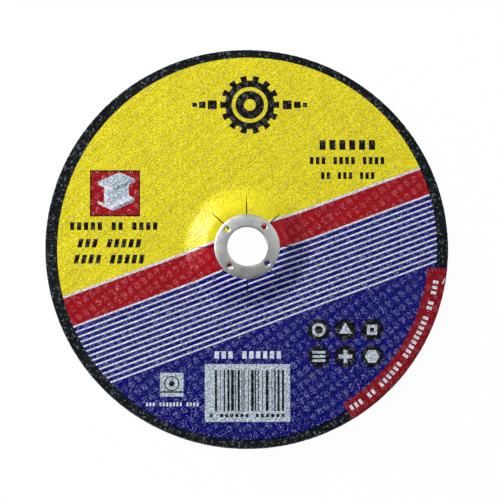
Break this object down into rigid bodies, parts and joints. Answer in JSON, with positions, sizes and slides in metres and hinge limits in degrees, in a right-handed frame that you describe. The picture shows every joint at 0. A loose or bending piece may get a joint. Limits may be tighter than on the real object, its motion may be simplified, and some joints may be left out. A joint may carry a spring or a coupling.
{
  "type": "depressed-centre grinding wheel",
  "caption": "Round abrasive disc with a raised hub, a steel-lined bore, a net in its work face and a printed paper label, for grinding metal on an angle grinder.",
  "frame": {"origin": "on the bore's axis, in the plane of the work face that the wheel lies on", "axes": "+Z along the bore's axis, out through the raised hub; +X to the right and +Y to the top as the label is read"},
  "size_m": [0.23, 0.23, 0.0114],
  "materials": {
    "bonded_grain": "coarse black grain in resin",
    "glass_yarn": "resin-soaked glass yarn",
    "printed_paper": "printed paper pressed onto the grain",
    "plated_steel": "satin plated sheet"
  },
  "bodies": {
    "root": {"abrasive_body": "bonded_grain", "glass_net": "glass_yarn", "paper_label": "printed_paper", "arbor_ring": "plated_steel"}
  },
  "joints": []
}
